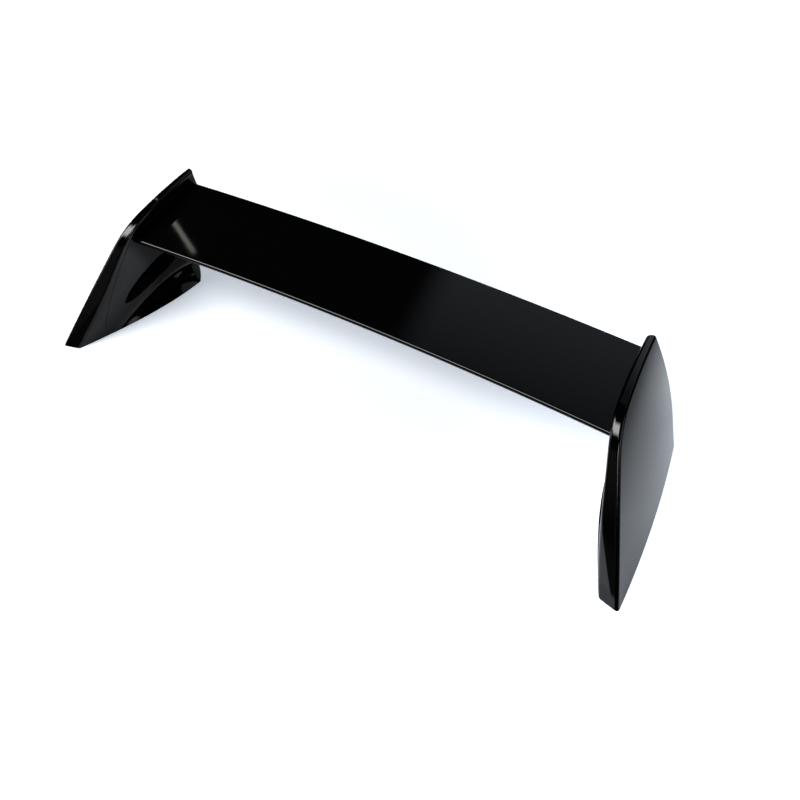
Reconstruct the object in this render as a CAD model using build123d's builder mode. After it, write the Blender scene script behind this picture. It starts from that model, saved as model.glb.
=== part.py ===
from build123d import *
from math import asin, cos, degrees, radians, sin, sqrt, tan
import os

# Overall size
overall_width = 1200.0
overall_depth = 390.0
overall_height = 266.0

# Outer face of an upright: a long arc on the floor that leans in to a straight line above the top edge
widest_setback = 35.0
side_radius = 2250.0
lean_rise = 9.0
lean_inset = 118.0

# Side view of an upright: raked front edge, wide bend, gently arched top edge
front_angle = 60.7
front_sweep = 14.0
front_bow = 4.0
bend_radius = 110.0
top_radius = 620.0
apex_setback = 331.0

# Plan of an upright on the floor, at the ankle, at the knee, at the blade and above the lip: the crease
# and the waist behind the front end, insets from the widest point, and the bulge of the rear face
ankle_height = 42.0
knee_height = 75.0
lip_rise = 45.0
lip_thickness = ((23.0, 23.0, 21.0, 19.0), (26.0, 27.0, 28.0, 26.0))
crease_setback = (66.0, 75.0, 86.0, 160.0, 195.0)
waist_setback = (179.5, 179.5, 179.5, 250.0, 262.0)
crease_inset = (59.5, 66.0, 75.8)
waist_inset = (97.0, 72.0, 81.0)
heel_inset = (117.0, 94.0, 99.0)
rear_bulge = (8.0, 8.0, 8.0, 3.0, 3.0)
facet_slope = 0.42
front_radius = 6.0
rear_radius = 4.0

# Heel and rear corner: ahead of the rear end in the foot, behind the trailing edge of the blade in the lip
heel_setback = (90.0, 78.0, 60.0)
rear_setback = (13.0, 4.0, 0.0)
heel_overrun = (6.6, -6.4)
rear_overrun = (17.6, -0.4)

# Wing blade: place of its leading edge at the uprights, tilt, bow in plan and section
bow_radius = 7300.0
leading_setback = 161.5
leading_height = 203.0
blade_angle = 10.8
blade_chord = 177.0
blade_thickness = 16.0
belly_setback = 68.0
nose_radius = 5.0
tail_radius = 2.0

# Threaded inserts in the feet
insert_inset = 48.0
insert_setback = (95.0, 295.0)
insert_diameter = 9.0
insert_length = 12.0
insert_clearance = 0.1
insert_chamfer = 0.5
thread_core = 5.0
screw_room = 3.0

# Room that the construction solids have around the finished shape
margin = 30.0

half_width = overall_width / 2
front_y = -overall_depth / 2
lean_height = overall_height + lean_rise
rake = 1 / tan(radians(front_angle))
sweep = tan(radians(front_sweep))
leading_y = front_y + leading_setback
trailing_y = leading_y + blade_chord * cos(radians(blade_angle))
back_y = front_y + overall_depth

ankle_plane = Plane.XY.offset(ankle_height)
knee_plane = Plane.XY.offset(knee_height)
blade_top = Plane(
    origin=(0, leading_y, leading_height),
    x_dir=(1, 0, 0),
    z_dir=(0, -sin(radians(blade_angle)), cos(radians(blade_angle))),
)
plan_planes = (Plane.XY, ankle_plane, knee_plane, blade_top, blade_top.offset(lip_rise))


def plane_height(plane, y):
    """Height of a section plane at depth y."""
    return plane.origin.Z - (y - plane.origin.Y) * plane.z_dir.Y / plane.z_dir.Z


def outer_x(y, z):
    """Half width at the outer face."""
    floor_x = half_width - (y - front_y - widest_setback) ** 2 / (2 * side_radius)
    lean_x = half_width - lean_inset
    return floor_x + (lean_x - floor_x) * z / lean_height


def on_plane(plane, x, y):
    """Point of a section plane at half width x and depth y, in the plane's own axes."""
    return plane.to_local_coords(Vector(x, y, plane_height(plane, y)))


def on_outer(plane, y, inset=0.0):
    """Point of a section plane at depth y, set in from the outer face."""
    return on_plane(plane, outer_x(y, plane_height(plane, y)) - inset, y)


def lip_middle(y, z):
    """Point halfway through the lip."""
    return Vector(outer_x(y, z) - min(lip_thickness[0]) / 2, y, z)


insert_x = half_width - insert_inset
insert_seats = [
    Plane(origin=(insert_x, front_y + setback, 0), z_dir=(0, 0, -1)) for setback in insert_setback
]

os.makedirs("parts", exist_ok=True)

with BuildPart() as right_upright:
    for level, plane in enumerate(plan_planes):
        toe_y = front_y + plane.origin.Z * rake - margin
        crease_y = front_y + crease_setback[level]
        waist_y = front_y + waist_setback[level]
        if level < len(crease_inset):
            heel_y = back_y - heel_setback[level]
            rear_y = back_y - rear_setback[level]
            crease_x = half_width - crease_inset[level]
            toe = on_plane(plane, crease_x + facet_slope * (crease_y - toe_y), toe_y)
            crease = on_plane(plane, crease_x, crease_y)
            waist = on_plane(plane, half_width - waist_inset[level], waist_y)
            heel = on_plane(plane, half_width - heel_inset[level], heel_y)
        else:
            heel_y = trailing_y + heel_overrun[level - len(crease_inset)]
            rear_y = trailing_y + rear_overrun[level - len(crease_inset)]
            inner_depths = (toe_y, crease_y, waist_y, heel_y)
            inner_insets = lip_thickness[level - len(crease_inset)]
            toe, crease, waist, heel = [
                on_outer(plane, y, inset) for y, inset in zip(inner_depths, inner_insets)
            ]
        with BuildSketch(plane):
            with BuildLine():
                outer_depths = (toe_y, (toe_y + rear_y) / 2, rear_y)
                outer = ThreePointArc(*[on_outer(plane, y) for y in outer_depths])
                Line(outer @ 0, toe)
                Spline(toe, crease, waist, heel)
                SagittaArc(heel, outer @ 1, rear_bulge[level])
            make_face()
    loft()
    far_rear = max(back_y, trailing_y) + 2 * margin
    far_top = lean_height + margin
    side_plane = Plane(
        origin=(half_width + margin, -margin * sweep, 0), x_dir=(0, 1, 0), z_dir=(1, 0, 0)
    )
    with BuildSketch(side_plane):
        with Locations((front_y + apex_setback, overall_height - top_radius)):
            Circle(top_radius)
        with BuildLine():
            front_edge = SagittaArc((front_y + far_top * rake, far_top), (front_y, 0), -front_bow)
            Polyline(front_edge @ 1, (far_rear, 0), (far_rear, far_top), front_edge @ 0)
        make_face(mode=Mode.INTERSECT)
        fillet(vertices().sort_by(Axis.Y)[-2:].sort_by(Axis.X)[0], bend_radius)
    inward = Vector(-cos(radians(front_sweep)), sin(radians(front_sweep)), 0)
    extrude(amount=half_width, dir=inward, mode=Mode.INTERSECT)
    raised = edges().filter_by(lambda edge: edge.center().Z > 0)
    fillet(raised - faces().sort_by(Axis.Y)[-1].edges(), front_radius)
    rear_edges = faces().sort_by(Axis.Y)[-1].edges()
    fillet(rear_edges.filter_by(lambda edge: edge.center().Z > 0), rear_radius)
    with Locations(*insert_seats):
        Hole(radius=insert_diameter / 2 + insert_clearance, depth=insert_length + screw_room)
right_upright.part.label = "right_upright"
export_step(right_upright.part, "parts/right_upright.step")

with BuildPart() as left_upright:
    mirror(right_upright.part, about=Plane.YZ)
left_upright.part.label = "left_upright"
export_step(left_upright.part, "parts/left_upright.step")

lip_front = lip_middle(leading_y, leading_height)
lip_rear = lip_middle(trailing_y, plane_height(blade_top, trailing_y))
lip_top = lip_middle(leading_y, lean_height)
blade_end = Plane(
    origin=lip_front,
    x_dir=lip_rear - lip_front,
    z_dir=(lip_rear - lip_front).cross(lip_top - lip_front),
)
bow_center_y = leading_y - sqrt(bow_radius**2 - lip_front.X**2)
half_sweep = degrees(asin(half_width / bow_radius))
blade_section = Plane(
    origin=(0, bow_center_y + bow_radius, leading_height),
    x_dir=blade_top.y_dir,
    z_dir=(1, 0, 0),
)

with BuildPart() as wing_blade:
    with BuildSketch(blade_section):
        with BuildLine():
            nose = ThreePointArc(
                (nose_radius, -2 * nose_radius), (0, -nose_radius), (nose_radius, 0)
            )
            top = Line(nose @ 1, (blade_chord - tail_radius, 0))
            tail = ThreePointArc(
                top @ 1,
                (blade_chord, -tail_radius),
                (blade_chord - tail_radius, -2 * tail_radius),
            )
            belly = (belly_setback, -blade_thickness)
            Spline(tail @ 1, belly, nose @ 0, tangents=(tail % 1, nose % 0))
        make_face()
    revolve(axis=Axis((0, bow_center_y, 0), (0, 0, -1)), revolution_arc=half_sweep)
    split(bisect_by=blade_end, keep=Keep.BOTTOM)
    add(right_upright.part, mode=Mode.SUBTRACT)
    mirror(about=Plane.YZ)
wing_blade.part.label = "wing_blade"
export_step(wing_blade.part, "parts/wing_blade.step")
for side, sign in (("left", -1), ("right", 1)):
    for end, setback in zip(("front", "rear"), insert_setback):
        seat = Plane(origin=(sign * insert_x, front_y + setback, 0), z_dir=(0, 0, -1))
        with BuildPart(seat) as foot_insert:
            Cylinder(
                insert_diameter / 2,
                insert_length,
                align=(Align.CENTER, Align.CENTER, Align.MAX),
            )
            Hole(radius=thread_core / 2, depth=insert_length)
            chamfer(edges().filter_by(GeomType.CIRCLE), insert_chamfer)
        foot_insert.part.label = f"insert_{side}_{end}"
        export_step(foot_insert.part, f"parts/insert_{side}_{end}.step")
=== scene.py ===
"""Gloss black car rear spoiler: a bowed wing blade between two leaning uprights, on a pale studio floor."""

from math import asin, pi, radians, sqrt

import bmesh
import bpy
from bpy.props import FloatProperty, FloatVectorProperty, IntProperty, PointerProperty
from mathutils import Matrix, Vector


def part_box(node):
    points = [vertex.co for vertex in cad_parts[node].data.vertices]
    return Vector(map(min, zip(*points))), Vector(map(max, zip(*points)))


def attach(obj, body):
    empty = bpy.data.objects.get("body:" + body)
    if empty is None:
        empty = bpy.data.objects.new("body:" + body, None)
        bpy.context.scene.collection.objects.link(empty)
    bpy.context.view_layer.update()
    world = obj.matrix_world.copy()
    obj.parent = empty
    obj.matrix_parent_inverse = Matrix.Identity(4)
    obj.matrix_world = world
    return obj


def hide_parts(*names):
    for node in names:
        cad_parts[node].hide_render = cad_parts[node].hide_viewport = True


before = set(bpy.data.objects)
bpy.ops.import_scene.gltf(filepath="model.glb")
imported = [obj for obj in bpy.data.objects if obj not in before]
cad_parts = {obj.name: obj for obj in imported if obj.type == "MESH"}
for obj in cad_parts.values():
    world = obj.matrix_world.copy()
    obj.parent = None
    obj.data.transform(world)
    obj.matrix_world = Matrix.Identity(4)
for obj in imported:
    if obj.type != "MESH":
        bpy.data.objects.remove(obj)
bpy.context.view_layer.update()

bl_info = {
    "name": "Car Rear Spoiler",
    "version": (1, 0, 0),
    "blender": (4, 5, 0),
    "location": "3D View > Sidebar > Spoiler",
    "description": "Shapes and finishes a gloss black car rear spoiler and sets its studio",
    "category": "Object",
}

UPRIGHTS = ("left_upright", "right_upright")
INSERTS = ("insert_left_front", "insert_left_rear", "insert_right_front", "insert_right_rear")

MERGE_DISTANCE = 1e-6
SHARP_ANGLE = radians(40.0)

# Underside of the blade from tail to nose: share of the chord, share of the greatest thickness
BELLY = (
    (0.90, 0.281), (0.82, 0.369), (0.735, 0.506), (0.65, 0.670), (0.565, 0.835), (0.48, 0.960),
    (0.384, 1.0), (0.311, 0.936), (0.237, 0.828), (0.17, 0.728), (0.113, 0.664), (0.06, 0.632),
)
TOP_SUPPORT = 0.0015
NOSE_SEGMENTS = 12
TAIL_SEGMENTS = 6
END_OVERRUN = 0.03

# Ridge of a thread: steps in a turn, depth that its foot sits in the wall, height and half width in pitches
THREAD_STEPS = 20
THREAD_SEATING = 0.00005
THREAD_HEIGHT = 0.35
THREAD_HALF_WIDTH = 0.4

# Sizes of the lacquer's patches, specks and pigment clouds
HAZE_SIZE = 0.11
DUST_SPACING = 0.022
PIGMENT_SIZE = 0.017

# Crease of an inner face: depth y over height z as start + z * (slope + curve * z), and where it ends
CREASE_START, CREASE_SLOPE, CREASE_CURVE = -0.129, 0.1009, 1.665
CREASE_TOP = 0.2
# Half width that parts an inner face from the outer one, at the floor, and how it comes in with height
INNER_HALF_WIDTH, INNER_LEAN = 0.570, 0.342

# Rolled toe of a front face: half width of its middle and of the outer face at the floor, each with
# its lean, then the front edge's depth at the floor, its rake and its sweep
TOE_HALF_WIDTH, TOE_LEAN = 0.588, 0.6
OUTER_HALF_WIDTH, OUTER_LEAN = 0.6, 0.43
EDGE_START, EDGE_RAKE, EDGE_SWEEP = -0.195, 0.561, 0.25
TOE_TURN = 0.4
TOE_DIP = -0.25

FLOOR_SIZE = (16.0, 16.0)
FLOOR_DROP = 0.0005
SHADE_MIDDLE = (-0.3, 0.12, 0.0)
SCRIM_SIZE = (3.2, 3.2)
SCRIM_PLACE = (0.45, 2.0, 3.0)
SCRIM_COLOUR = (0.9, 1.0, 1.08)
DARK_AIR = (0.004, 0.004, 0.0045, 1.0)
WHITE_AIR = (1.0, 1.0, 1.0, 1.0)
SENSOR_WIDTH = 36.0

# Lamps: place, target, size, power
LAMPS = {
    "front_softbox": ((-1.1, -1.4, 2.2), (-0.1, 0.0, 0.0), (1.3, 0.8), 70.0),
    "ceiling_softbox": ((0.5, 0.4, 2.8), (0.2, 0.0, 0.0), (2.2, 2.2), 10.0),
}

# Panels mirrored in the lacquer: place, target, direction of the long side, size, colour, strength
ACROSS = (1.0, 0.0, 0.0)
PURE = (1.0, 1.0, 1.0)
WARM = (1.0, 0.97, 0.86)
PANELS = {
    "front_panel": ((-1.1, -1.36, 2.13), (0.0, -0.03, 0.2), ACROSS, (2.9, 1.2), PURE, 9.0),
    "front_wall": ((-1.4, -3.0, 0.75), (0.0, -0.1, 0.15), ACROSS, (5.6, 1.7), PURE, 0.09),
    "right_panel": ((1.34, -1.75, 1.39), (0.5, -0.1, 0.2), ACROSS, (0.7, 1.3), PURE, 4.0),
    "left_panel": ((-2.4, -0.9, 0.8), (-0.5, -0.06, 0.2), (0.4, -1.0, 0.0), (1.6, 1.3), PURE, 2.0),
    "right_wall": ((3.4, -0.2, 1.7), (0.55, 0.0, 0.13), (0.0, 1.0, 0.0), (2.3, 2.4), PURE, 0.8),
    "rear_wall": ((-0.6, 3.6, 1.3), (0.0, 0.1, 0.13), ACROSS, (4.6, 1.8), PURE, 0.8),
    "ceiling_tube": (
        (-2.224, 0.899, 2.471), (-0.4, 0.02, 0.21), (0.173, -0.1, 0.064), (0.31, 0.04), WARM, 2.0,
    ),
}
# Shares of a panel's half width and half height from which it fades to its edges
PANEL_FADE = (0.8, 0.3)


class SpoilerBladeSettings(bpy.types.PropertyGroup):
    """Section, tilt and bow of the wing blade."""

    leading_place: FloatVectorProperty(
        name="Leading Edge", description="Where the leading edge enters the right upright",
        subtype="TRANSLATION", size=3, default=(0.5025, -0.0335, 0.203),
    )
    trailing_place: FloatVectorProperty(
        name="Trailing Edge", description="Where the trailing edge enters the right upright",
        subtype="TRANSLATION", size=3, default=(0.4864, 0.1404, 0.2362),
    )
    lip_place: FloatVectorProperty(
        name="Lip Top", description="Middle of the right upright's lip above the leading edge",
        subtype="TRANSLATION", size=3, default=(0.4725, -0.0335, 0.275),
    )
    bow_radius: FloatProperty(
        name="Bow Radius", description="Radius of the leading edge seen from above",
        unit="LENGTH", default=7.3, min=1.0,
    )
    angle: FloatProperty(
        name="Blade Angle", description="Rise of the blade from front to rear",
        subtype="ANGLE", default=radians(10.8),
    )
    chord: FloatProperty(
        name="Chord", description="Depth of the blade along its slope",
        unit="LENGTH", default=0.177, min=0.05,
    )
    thickness: FloatProperty(
        name="Thickness", description="Greatest thickness of the blade",
        unit="LENGTH", default=0.016, min=0.005,
    )
    nose_radius: FloatProperty(
        name="Nose Radius", description="Rounding of the leading edge",
        unit="LENGTH", default=0.005, min=0.001,
    )
    tail_radius: FloatProperty(
        name="Tail Radius", description="Rounding of the trailing edge",
        unit="LENGTH", default=0.002, min=0.0005,
    )
    bow_steps: IntProperty(
        name="Bow Steps", description="Steps of the bow from end to end",
        default=120, min=16, max=400,
    )


class SpoilerLacquerSettings(bpy.types.PropertyGroup):
    """Gloss black lacquer of the blade and the uprights."""

    pigment: FloatVectorProperty(
        name="Pigment", description="Black of the lacquer",
        subtype="COLOR", size=3, default=(0.0008, 0.00085, 0.001), min=0.0, max=1.0,
    )
    gloss_roughness: FloatProperty(
        name="Gloss Roughness", description="Roughness of a clean patch of lacquer",
        subtype="FACTOR", default=0.03, min=0.0, max=1.0,
    )
    haze: FloatProperty(
        name="Haze", description="Roughness that polishing haze adds in patches",
        subtype="FACTOR", default=0.03, min=0.0, max=1.0,
    )
    dust: FloatProperty(
        name="Dust", description="Roughness of the fine dust specks",
        subtype="FACTOR", default=0.1, min=0.0, max=1.0,
    )
    peel_size: FloatProperty(
        name="Peel Size", description="Size of the faint waves of sprayed lacquer",
        unit="LENGTH", default=0.006, min=0.001, max=0.05,
    )
    peel_height: FloatProperty(
        name="Peel Height", description="Height of the faint waves of sprayed lacquer",
        unit="LENGTH", default=0.000004, min=0.0, max=0.001, precision=6,
    )
    crease_width: FloatProperty(
        name="Crease Width", description="Width of the fine crease in the inner faces",
        unit="LENGTH", default=0.0032, min=0.0005, max=0.01,
    )
    crease_depth: FloatProperty(
        name="Crease Depth", description="Depth of the fine crease in the inner faces",
        unit="LENGTH", default=0.00045, min=0.0, max=0.002, precision=6,
    )


class SpoilerBrassSettings(bpy.types.PropertyGroup):
    """Turned brass inserts and their threads."""

    brass: FloatVectorProperty(
        name="Brass", description="Colour of the bare brass",
        subtype="COLOR", size=3, default=(0.72, 0.53, 0.25), min=0.0, max=1.0,
    )
    core_radius: FloatProperty(
        name="Core Radius", description="Radius of the thread's core",
        unit="LENGTH", default=0.0025, min=0.001,
    )
    pitch: FloatProperty(
        name="Pitch", description="Rise of the thread in one turn",
        unit="LENGTH", default=0.001, min=0.0005,
    )
    turns: IntProperty(
        name="Turns", description="Turns of the thread", default=10, min=1, max=40,
    )


class SpoilerStageSettings(bpy.types.PropertyGroup):
    """Floor and camera."""

    floor_colour: FloatVectorProperty(
        name="Floor Colour", description="Colour of the studio floor",
        subtype="COLOR", size=3, default=(0.86, 0.87, 0.88), min=0.0, max=1.0,
    )
    # Colour of the floor's painted glow, which tints its shade to the camera and the floor that the gloss
    # mirrors
    shade_colour: FloatVectorProperty(
        name="Shade Colour", description="Colour left in the shade on the floor",
        subtype="COLOR", size=3, default=(0.385, 0.425, 0.475), min=0.0, max=1.0,
    )
    camera_place: FloatVectorProperty(
        name="Camera Place", description="Where the camera stands",
        subtype="TRANSLATION", size=3, default=(0.5936, -0.8735, 1.1752),
    )
    camera_turn: FloatVectorProperty(
        name="Camera Turn", description="Pitch, roll and heading of the camera",
        subtype="EULER", size=3, default=(radians(41.301), 0.0, radians(29.914)),
    )
    camera_lens: FloatProperty(
        name="Camera Lens", description="Focal length in millimetres",
        unit="CAMERA", default=36.22, min=1.0,
    )


class Recipe:
    """Node tree of one material, with short calls for its nodes and links."""

    def __init__(self, name):
        self.material = bpy.data.materials.new(name)
        self.material.use_nodes = True
        self.tree = self.material.node_tree
        self.place = self.add("TexCoord").outputs["Object"]

    @property
    def shader(self):
        """Sockets of the surface's shader."""
        return self.tree.nodes["Principled BSDF"].inputs

    @property
    def surface(self):
        """Socket that shows a shader on the surface."""
        return self.tree.nodes["Material Output"].inputs["Surface"]

    def add(self, kind, **settings):
        node = self.tree.nodes.new("ShaderNode" + kind)
        for name, value in settings.items():
            setattr(node, name, value)
        return node

    def join(self, source, socket):
        """Links a node's output into a socket, or sets the socket's own value."""
        if isinstance(source, bpy.types.NodeSocket):
            self.tree.links.new(source, socket)
        else:
            socket.default_value = source

    def math(self, operation, *values):
        node = self.add("Math", operation=operation)
        for value, socket in zip(values, node.inputs):
            self.join(value, socket)
        return node.outputs["Value"]

    def product(self, first, *others):
        for other in others:
            first = self.math("MULTIPLY", first, other)
        return first

    def vector(self, operation, *values, output="Vector"):
        node = self.add("VectorMath", operation=operation)
        for value, socket in zip(values, node.inputs):
            self.join(value, socket)
        return node.outputs[output]

    def ramp(self, value, start, end, low, high, smooth=True):
        """Runs from low at start to high at end, and stays level beyond them."""
        node = self.add("MapRange", interpolation_type="SMOOTHSTEP" if smooth else "LINEAR")
        self.join(value, node.inputs["Value"])
        limits = {"From Min": start, "From Max": end, "To Min": low, "To Max": high}
        for name, limit in limits.items():
            self.join(limit, node.inputs[name])
        return node.outputs["Result"]

    def parts(self):
        """X, Y and Z of the place."""
        node = self.add("SeparateXYZ")
        self.join(self.place, node.inputs["Vector"])
        return tuple(node.outputs[axis] for axis in "XYZ")

    def noise(self, size, detail=2.0):
        node = self.add("TexNoise")
        node.inputs["Scale"].default_value = 1.0 / size
        node.inputs["Detail"].default_value = detail
        self.join(self.place, node.inputs["Vector"])
        return node.outputs["Fac"]

    def blend(self, share, first, second):
        node = self.add("Mix", data_type="RGBA")
        self.join(share, node.inputs["Factor"])
        self.join((*first, 1.0), node.inputs["A"])
        self.join((*second, 1.0), node.inputs["B"])
        return node.outputs["Result"]

    def bump(self, height, distance, below=None):
        node = self.add("Bump")
        node.inputs["Strength"].default_value = 1.0
        node.inputs["Distance"].default_value = distance
        self.join(height, node.inputs["Height"])
        if below:
            self.join(below, node.inputs["Normal"])
        return node.outputs["Normal"]

    def glow(self, colour, strength):
        """Bare light in place of the shader."""
        self.tree.nodes.remove(self.tree.nodes["Principled BSDF"])
        node = self.add("Emission")
        self.join((*colour, 1.0), node.inputs["Color"])
        self.join(strength, node.inputs["Strength"])
        self.join(node.outputs["Emission"], self.surface)
        return node.outputs["Emission"]


def rolled_toe(recipe, normal):
    """Turns the toe of the front face inwards, where it rolls over into the inner face."""
    x, y, z = recipe.parts()
    width = recipe.math("ABSOLUTE", x)
    past_middle = recipe.math("SUBTRACT", TOE_HALF_WIDTH, recipe.math("MULTIPLY_ADD", z, TOE_LEAN, width))
    rolled = recipe.ramp(past_middle, -0.003, 0.004, 0.0, TOE_TURN)
    inset = recipe.math("SUBTRACT", OUTER_HALF_WIDTH, recipe.math("MULTIPLY_ADD", z, OUTER_LEAN, width))
    raked = recipe.math("MULTIPLY_ADD", z, EDGE_RAKE, EDGE_START)
    edge = recipe.math("MULTIPLY_ADD", inset, EDGE_SWEEP, raked)
    front = recipe.ramp(recipe.math("SUBTRACT", y, edge), 0.006, 0.014, 1.0, 0.0)
    above = recipe.ramp(z, 0.10, 0.15, 1.0, 0.0)
    below = recipe.ramp(z, 0.012, 0.03, 0.0, 1.0)
    amount = recipe.product(rolled, front, above, below)
    lean = recipe.add("CombineXYZ")
    inwards = recipe.product(recipe.math("SIGN", x), -1.0)
    recipe.join(recipe.product(amount, inwards), lean.inputs["X"])
    recipe.join(recipe.product(amount, TOE_DIP), lean.inputs["Z"])
    return recipe.vector("NORMALIZE", recipe.vector("ADD", normal, lean.outputs["Vector"]))


def creased(recipe, normal, width, depth):
    """Presses a fine crease into the inner face, in a curve from the blade's nose down to the toe."""
    x, y, z = recipe.parts()
    slope = recipe.math("MULTIPLY_ADD", z, CREASE_CURVE, CREASE_SLOPE)
    line = recipe.math("MULTIPLY_ADD", z, slope, CREASE_START)
    away = recipe.math("ABSOLUTE", recipe.math("SUBTRACT", y, line))
    groove = recipe.ramp(away, 0.0, 0.5 * width, 1.0, 0.0)
    reach = recipe.math("MULTIPLY_ADD", z, INNER_LEAN, recipe.math("ABSOLUTE", x))
    inner = recipe.math("LESS_THAN", reach, INNER_HALF_WIDTH)
    below = recipe.math("LESS_THAN", z, CREASE_TOP)
    height = recipe.math("SUBTRACT", 1.0, recipe.product(groove, inner, below))
    return recipe.bump(height, depth, normal)


def lacquer_material(name, on_upright=False):
    """Sprayed gloss black: near-black pigment, patchy polish, dust specks and faint waves."""
    settings = bpy.context.scene.spoiler_lacquer
    recipe = Recipe(name)
    shader = recipe.shader
    shader["IOR"].default_value = 1.5

    clean = settings.gloss_roughness
    haze = recipe.ramp(recipe.noise(HAZE_SIZE, 5.0), 0.35, 0.75, clean, clean + settings.haze)
    dust = recipe.add("TexVoronoi")
    dust.inputs["Scale"].default_value = 1.0 / DUST_SPACING
    recipe.join(recipe.place, dust.inputs["Vector"])
    specks = recipe.ramp(dust.outputs["Distance"], 0.035, 0.07, settings.dust, 0.0)
    recipe.join(recipe.math("ADD", haze, specks), shader["Roughness"])

    deep = [0.75 * channel for channel in settings.pigment]
    thin = [1.25 * channel for channel in settings.pigment]
    recipe.join(recipe.blend(recipe.noise(PIGMENT_SIZE), deep, thin), shader["Base Color"])

    normal = recipe.bump(recipe.noise(settings.peel_size, 1.0), settings.peel_height)
    if on_upright:
        normal = rolled_toe(recipe, normal)
        normal = creased(recipe, normal, settings.crease_width, settings.crease_depth)
    recipe.join(normal, shader["Normal"])
    return recipe.material


def brass_material():
    """Turned brass: tarnish in patches and fine tool rings along the axis."""
    bare = bpy.context.scene.spoiler_brass.brass
    dull = [0.6 * channel for channel in bare]
    recipe = Recipe("turned_brass")
    shader = recipe.shader
    shader["Metallic"].default_value = 1.0
    tarnish = recipe.noise(0.003, 4.0)
    tarnished = recipe.ramp(tarnish, 0.4, 0.7, 0.0, 1.0)
    recipe.join(recipe.blend(tarnished, bare, dull), shader["Base Color"])
    recipe.join(recipe.ramp(tarnish, 0.3, 0.7, 0.22, 0.42), shader["Roughness"])
    rings = recipe.add("TexWave", bands_direction="Z")
    rings.inputs["Scale"].default_value = 800.0
    rings.inputs["Distortion"].default_value = 0.4
    recipe.join(recipe.place, rings.inputs["Vector"])
    recipe.join(recipe.bump(rings.outputs["Fac"], 0.00002), shader["Normal"])
    return recipe.material


def dress(node, material):
    """Gives a CAD node's object one material."""
    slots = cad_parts[node].data.materials
    slots.clear()
    slots.append(material)


def add_piece(context, name, shape, material):
    """Turns a finished bmesh into a piece that rides on the spoiler."""
    if not shape.faces or any(edge.is_boundary for edge in shape.edges):
        raise RuntimeError(f"{name} isn't a closed shape")
    bmesh.ops.recalc_face_normals(shape, faces=shape.faces)
    for face in shape.faces:
        face.smooth = True
    for edge in shape.edges:
        edge.smooth = edge.calc_face_angle(0.0) < SHARP_ANGLE
    mesh = bpy.data.meshes.new(name)
    shape.to_mesh(mesh)
    shape.free()
    mesh.materials.append(material)
    piece = bpy.data.objects.new(name, mesh)
    context.scene.collection.objects.link(piece)
    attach(piece, "root")
    return piece


class SPOILER_OT_shape_blade(bpy.types.Operator):
    """Sweep the blade's section along its bow and trim it inside the uprights"""

    bl_idname = "spoiler.shape_blade"
    bl_label = "Shape Wing Blade"

    def execute(self, context):
        settings = context.scene.spoiler_blade
        leading = Vector(settings.leading_place)
        bow_depth = sqrt(settings.bow_radius**2 - leading.x**2)
        bow_centre = Vector((0.0, leading.y - bow_depth, 0.0))
        half_sweep = asin((leading.x + END_OVERRUN) / settings.bow_radius)

        # Tilted, set on the bow and turned out past the right end, then swept to the left end
        shape = self.section(settings)
        tilt = Matrix.Rotation(settings.angle, 4, "X")
        bow = Matrix.Translation(bow_centre + Vector((0.0, settings.bow_radius, leading.z)))
        about = Matrix.Translation(bow_centre)
        swing = about @ Matrix.Rotation(-half_sweep, 4, "Z") @ about.inverted()
        bmesh.ops.transform(shape, matrix=swing @ bow @ tilt, verts=shape.verts)
        bmesh.ops.spin(
            shape, geom=shape.verts[:] + shape.edges[:], cent=bow_centre, axis=(0.0, 0.0, 1.0),
            dvec=(0.0, 0.0, 0.0), angle=2 * half_sweep, steps=settings.bow_steps, use_merge=False,
        )
        bmesh.ops.remove_doubles(shape, verts=shape.verts, dist=MERGE_DISTANCE)

        # Trimmed in the middle of each upright's lip
        along = Vector(settings.trailing_place) - leading
        across = along.cross(Vector(settings.lip_place) - leading).normalized()
        if across.x < 0:
            across = -across
        for side in (1.0, -1.0):
            bmesh.ops.bisect_plane(
                shape, geom=shape.verts[:] + shape.edges[:] + shape.faces[:], dist=MERGE_DISTANCE,
                plane_co=(side * leading.x, leading.y, leading.z),
                plane_no=(side * across.x, across.y, across.z), clear_outer=True,
            )
        rims = [edge for edge in shape.edges if edge.is_boundary]
        bmesh.ops.holes_fill(shape, edges=rims, sides=0)
        material = lacquer_material("blade_lacquer")
        blade = add_piece(context, "lacquered_blade", shape, material)
        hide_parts("wing_blade")
        return {"FINISHED"}

    def section(self, settings):
        """Outline of the blade's section: flat top, hollow rear belly, rounded nose and tail."""
        nose, tail, chord = settings.nose_radius, settings.tail_radius, settings.chord
        corners = [(0.0, 0.0), (chord, 0.0), (chord, -2 * tail), (0.0, -2 * nose)]
        top = [(nose + TOP_SUPPORT, 0.0), (chord - tail - TOP_SUPPORT, 0.0)]
        belly = [(along * chord, -deep * settings.thickness) for along, deep in BELLY]
        outline = [corners[0], *top, *corners[1:3], *belly, corners[3]]
        shape = bmesh.new()
        points = [shape.verts.new((0.0, along, height)) for along, height in outline]
        shape.faces.new(points)
        square = [vertex for vertex, point in zip(points, outline) if point in corners]
        roundings = ((square[1:3], tail, TAIL_SEGMENTS), (square[::3], nose, NOSE_SEGMENTS))
        for pair, radius, segments in roundings:
            bmesh.ops.bevel(
                shape, geom=pair, offset=radius, offset_type="OFFSET", affect="VERTICES",
                segments=segments, profile=0.5, material=-1, clamp_overlap=False,
            )
        bmesh.ops.remove_doubles(shape, verts=shape.verts, dist=MERGE_DISTANCE)
        bmesh.ops.delete(shape, geom=shape.faces[:], context="FACES_ONLY")
        return shape


class SPOILER_OT_lacquer_uprights(bpy.types.Operator):
    """Finish both uprights in gloss black lacquer with a fine crease in their inner faces"""

    bl_idname = "spoiler.lacquer_uprights"
    bl_label = "Lacquer Uprights"

    def execute(self, context):
        material = lacquer_material("upright_lacquer", on_upright=True)
        for node in UPRIGHTS:
            dress(node, material)
        return {"FINISHED"}


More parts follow.
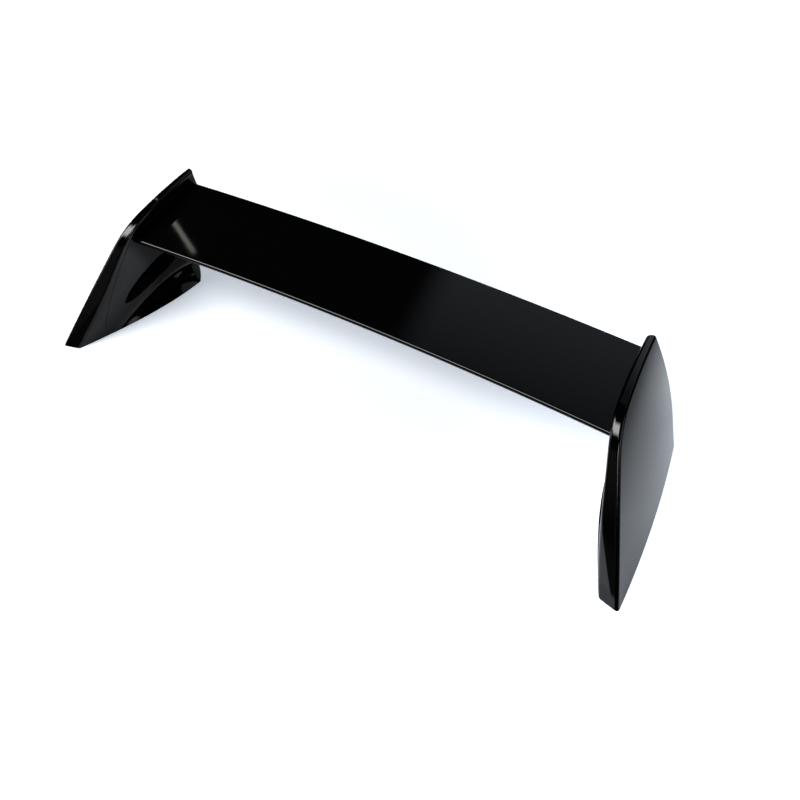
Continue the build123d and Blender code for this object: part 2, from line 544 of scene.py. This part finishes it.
class SPOILER_OT_thread_inserts(bpy.types.Operator):
    """Finish the inserts in turned brass and wind a screw thread into each"""

    bl_idname = "spoiler.thread_inserts"
    bl_label = "Thread Inserts"

    def execute(self, context):
        settings = context.scene.spoiler_brass
        pitch, turns = settings.pitch, settings.turns
        wall = settings.core_radius + THREAD_SEATING
        crest = settings.core_radius - THREAD_HEIGHT * pitch
        section = ((wall, -THREAD_HALF_WIDTH), (crest, 0.0), (wall, THREAD_HALF_WIDTH))
        material = brass_material()
        for node in INSERTS:
            dress(node, material)
            low, high = (Vector(corner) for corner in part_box(node))
            middle = (low + high) / 2
            start = middle.z - pitch * turns / 2
            shape = bmesh.new()
            ridge = [
                shape.verts.new((middle.x + radius, middle.y, start + rise * pitch))
                for radius, rise in section
            ]
            for first, second in zip(ridge, ridge[1:] + ridge[:1]):
                shape.edges.new((first, second))
            bmesh.ops.spin(
                shape, geom=shape.verts[:] + shape.edges[:], cent=middle, axis=(0.0, 0.0, 1.0),
                dvec=(0.0, 0.0, pitch / THREAD_STEPS), angle=2 * pi * turns,
                steps=THREAD_STEPS * turns, use_merge=False,
            )
            bmesh.ops.holes_fill(shape, edges=shape.edges, sides=3)
            add_piece(context, node.replace("insert", "thread"), shape, material)
        return {"FINISHED"}


class SPOILER_OT_set_stage(bpy.types.Operator):
    """Lay the floor and place the lamps, the reflected panels and the camera"""

    bl_idname = "spoiler.set_stage"
    bl_label = "Set Stage"

    def execute(self, context):
        settings = context.scene.spoiler_stage
        lowered = Matrix.Translation((0.0, 0.0, -FLOOR_DROP))
        self.add_sheet(context, "studio_floor", FLOOR_SIZE, lowered, self.floor_material(settings))
        for name, lamp in LAMPS.items():
            self.add_lamp(context, name, *lamp)
        for name, panel in PANELS.items():
            self.add_panel(context, name, *panel)
        overhead = Matrix.Translation(SCRIM_PLACE)
        scrim = self.add_sheet(context, "ceiling_scrim", SCRIM_SIZE, overhead, self.scrim_material())
        scrim.visible_camera = scrim.visible_shadow = False
        self.fill_air(context)
        self.add_camera(context, settings)
        context.scene.view_settings.view_transform = "Standard"
        return {"FINISHED"}

    def add_sheet(self, context, name, size, place, material):
        """Flat sheet of the stage, sized and then put in its place."""
        mesh = bpy.data.meshes.new(name)
        shape = bmesh.new()
        bmesh.ops.create_grid(shape, x_segments=1, y_segments=1, size=0.5)
        bmesh.ops.scale(shape, vec=(*size, 1.0), verts=shape.verts)
        shape.to_mesh(mesh)
        shape.free()
        mesh.materials.append(material)
        sheet = bpy.data.objects.new(name, mesh)
        sheet.matrix_world = place
        context.scene.collection.objects.link(sheet)
        return sheet

    def add_lamp(self, context, name, place, target, size, power):
        """Soft lamp that lights the floor and the object, and isn't mirrored in the lacquer."""
        lamp = bpy.data.lights.new(name, "AREA")
        lamp.shape = "RECTANGLE"
        lamp.size, lamp.size_y = size
        lamp.energy = power
        facing = Vector(target) - Vector(place)
        holder = bpy.data.objects.new(name, lamp)
        holder.location = place
        holder.rotation_euler = facing.to_track_quat("-Z", "Y").to_euler()
        holder.visible_glossy = False
        context.scene.collection.objects.link(holder)

    def add_panel(self, context, name, place, target, along, size, colour, strength):
        """Soft-edged bright panel that only the lacquer mirrors, its long side laid along a direction."""
        facing = (Vector(target) - Vector(place)).normalized()
        side = Vector(along)
        side = (side - side.project(facing)).normalized()
        turn = Matrix((side, facing.cross(side), facing)).transposed().to_4x4()
        recipe = Recipe(name)
        strengths = [strength]
        for part, length, fade in zip(recipe.parts(), size, PANEL_FADE):
            away = recipe.math("ABSOLUTE", part)
            strengths.append(recipe.ramp(away, fade * length / 2, length / 2, 1.0, 0.0))
        recipe.glow(colour, recipe.product(*reversed(strengths)))
        panel = self.add_sheet(context, name, size, Matrix.Translation(place) @ turn, recipe.material)
        panel.visible_camera = panel.visible_diffuse = panel.visible_shadow = False

    def floor_material(self, settings):
        """Pale matt floor that keeps its shadows, with painted glow: white to the camera further out, and in
        the gloss a painted table of light with a dark floor beyond it.
        """
        recipe = Recipe("studio_floor")
        x = recipe.parts()[0]
        path = recipe.add("LightPath").outputs
        mirrored = recipe.math("MAXIMUM", path["Is Glossy Ray"], path["Is Transmission Ray"])
        reflection_share = self.painted_reflection_share(recipe, path["Glossy Depth"])

        # Painted light: a glow that only the camera sees, weaker around SHADE_MIDDLE so the lamps' shadow
        # shows there and is washed out to white further away
        offset = recipe.vector("DISTANCE", recipe.place, SHADE_MIDDLE, output="Value")
        white = recipe.ramp(offset, 0.4, 1.1, 1.0, 2.6)
        direct = recipe.product(path["Is Camera Ray"], white)
        # Painted reflection: a glow that only the gloss sees, brighter to the right
        painted_floor_glow = recipe.product(mirrored, reflection_share, recipe.ramp(x, -0.2, 0.5, 0.6, 1.9))
        glow = recipe.glow(settings.shade_colour, recipe.math("ADD", direct, painted_floor_glow))

        matt = recipe.add("BsdfDiffuse")
        recipe.join((*settings.floor_colour, 1.0), matt.inputs["Color"])
        dark = recipe.add("BsdfDiffuse")
        recipe.join((0.0, 0.0, 0.0, 1.0), dark.inputs["Color"])
        # Painted dark reflection: outside the painted table the gloss sees a black floor
        painted_dark_share = recipe.product(mirrored, recipe.math("SUBTRACT", 1.0, reflection_share))
        ground = recipe.add("MixShader")
        recipe.join(painted_dark_share, ground.inputs["Fac"])
        recipe.join(matt.outputs["BSDF"], ground.inputs[1])
        recipe.join(dark.outputs["BSDF"], ground.inputs[2])
        both = recipe.add("AddShader")
        recipe.join(ground.outputs["Shader"], both.inputs[0])
        recipe.join(glow, both.inputs[1])
        recipe.join(both.outputs["Shader"], recipe.surface)
        return recipe.material

    def painted_reflection_share(self, recipe, glossy_depth):
        """Painted reflection: how much of the floor's glow the gloss shows, less at the edges of the painted
        table, with a painted shade behind the left foot, and less at second hand.
        """
        x, y = recipe.parts()[:2]
        right = recipe.ramp(x, 0.61, 0.77, 1.0, 0.2, smooth=False)
        left = recipe.ramp(x, -0.4, 0.1, 0.5, 1.0)
        rim = recipe.ramp(y, -0.34, -0.27, 0.05, 1.0)
        front = recipe.ramp(y, -0.15, 0.02, 0.68, 1.0, smooth=False)
        # Painted shade: the gloss sees a darker floor behind the left foot
        painted_foot_shade = recipe.product(recipe.ramp(x, -0.36, -0.22, 1.0, 0.0), recipe.ramp(y, 0.03, 0.08, 0.0, 0.5))
        outside_painted_shade = recipe.math("SUBTRACT", 1.0, painted_foot_shade)
        first_hand = recipe.ramp(glossy_depth, 1.4, 1.6, 1.0, 0.15)
        return recipe.product(right, left, rim, front, outside_painted_shade, first_hand)

    def scrim_material(self):
        """Dim ceiling scrim that fades out to the left and brightens to the rear."""
        recipe = Recipe("ceiling_scrim")
        x, y = recipe.parts()[:2]
        side = recipe.ramp(x, -1.6, -1.35, 0.0, 1.0)
        depth = recipe.ramp(y, -1.1, 0.4, 0.1, 0.65, smooth=False)
        recipe.glow(SCRIM_COLOUR, recipe.product(side, depth))
        return recipe.material

    def fill_air(self, context):
        """Surroundings that are white to the camera and near black in the gloss."""
        world = bpy.data.worlds.new("studio")
        world.use_nodes = True
        nodes, links = world.node_tree.nodes, world.node_tree.links
        path = nodes.new("ShaderNodeLightPath")
        air = nodes.new("ShaderNodeMix")
        air.data_type = "RGBA"
        air.inputs["A"].default_value = DARK_AIR
        air.inputs["B"].default_value = WHITE_AIR
        links.new(path.outputs["Is Camera Ray"], air.inputs["Factor"])
        links.new(air.outputs["Result"], nodes["Background"].inputs["Color"])
        context.scene.world = world

    def add_camera(self, context, settings):
        """Camera at the photograph's angle."""
        camera = bpy.data.cameras.new("camera")
        camera.lens = settings.camera_lens
        camera.sensor_width = SENSOR_WIDTH
        viewer = bpy.data.objects.new("camera", camera)
        viewer.location = settings.camera_place
        viewer.rotation_euler = settings.camera_turn
        context.scene.collection.objects.link(viewer)
        context.scene.camera = viewer


class SPOILER_PT_workshop(bpy.types.Panel):
    """Steps and settings of the spoiler"""

    bl_idname = "SPOILER_PT_workshop"
    bl_label = "Car Rear Spoiler"
    bl_space_type = "VIEW_3D"
    bl_region_type = "UI"
    bl_category = "Spoiler"

    def draw(self, context):
        column = self.layout.column()
        for step in step_classes:
            column.operator(step.bl_idname)
        for name, group in settings_groups.items():
            box = self.layout.box()
            box.label(text=group.bl_rna.description)
            for prop in group.__annotations__:
                box.prop(getattr(context.scene, name), prop)


settings_groups = {
    "spoiler_blade": SpoilerBladeSettings,
    "spoiler_lacquer": SpoilerLacquerSettings,
    "spoiler_brass": SpoilerBrassSettings,
    "spoiler_stage": SpoilerStageSettings,
}
step_classes = (
    SPOILER_OT_shape_blade,
    SPOILER_OT_lacquer_uprights,
    SPOILER_OT_thread_inserts,
    SPOILER_OT_set_stage,
)
classes = (*settings_groups.values(), *step_classes, SPOILER_PT_workshop)


def register():
    for cls in classes:
        bpy.utils.register_class(cls)
    for name, group in settings_groups.items():
        setattr(bpy.types.Scene, name, PointerProperty(type=group))


def unregister():
    for name in settings_groups:
        delattr(bpy.types.Scene, name)
    for cls in reversed(classes):
        bpy.utils.unregister_class(cls)


def main():
    register()
    bpy.ops.spoiler.shape_blade()
    bpy.ops.spoiler.lacquer_uprights()
    bpy.ops.spoiler.thread_inserts()
    bpy.ops.spoiler.set_stage()


if __name__ == "__main__":
    main()
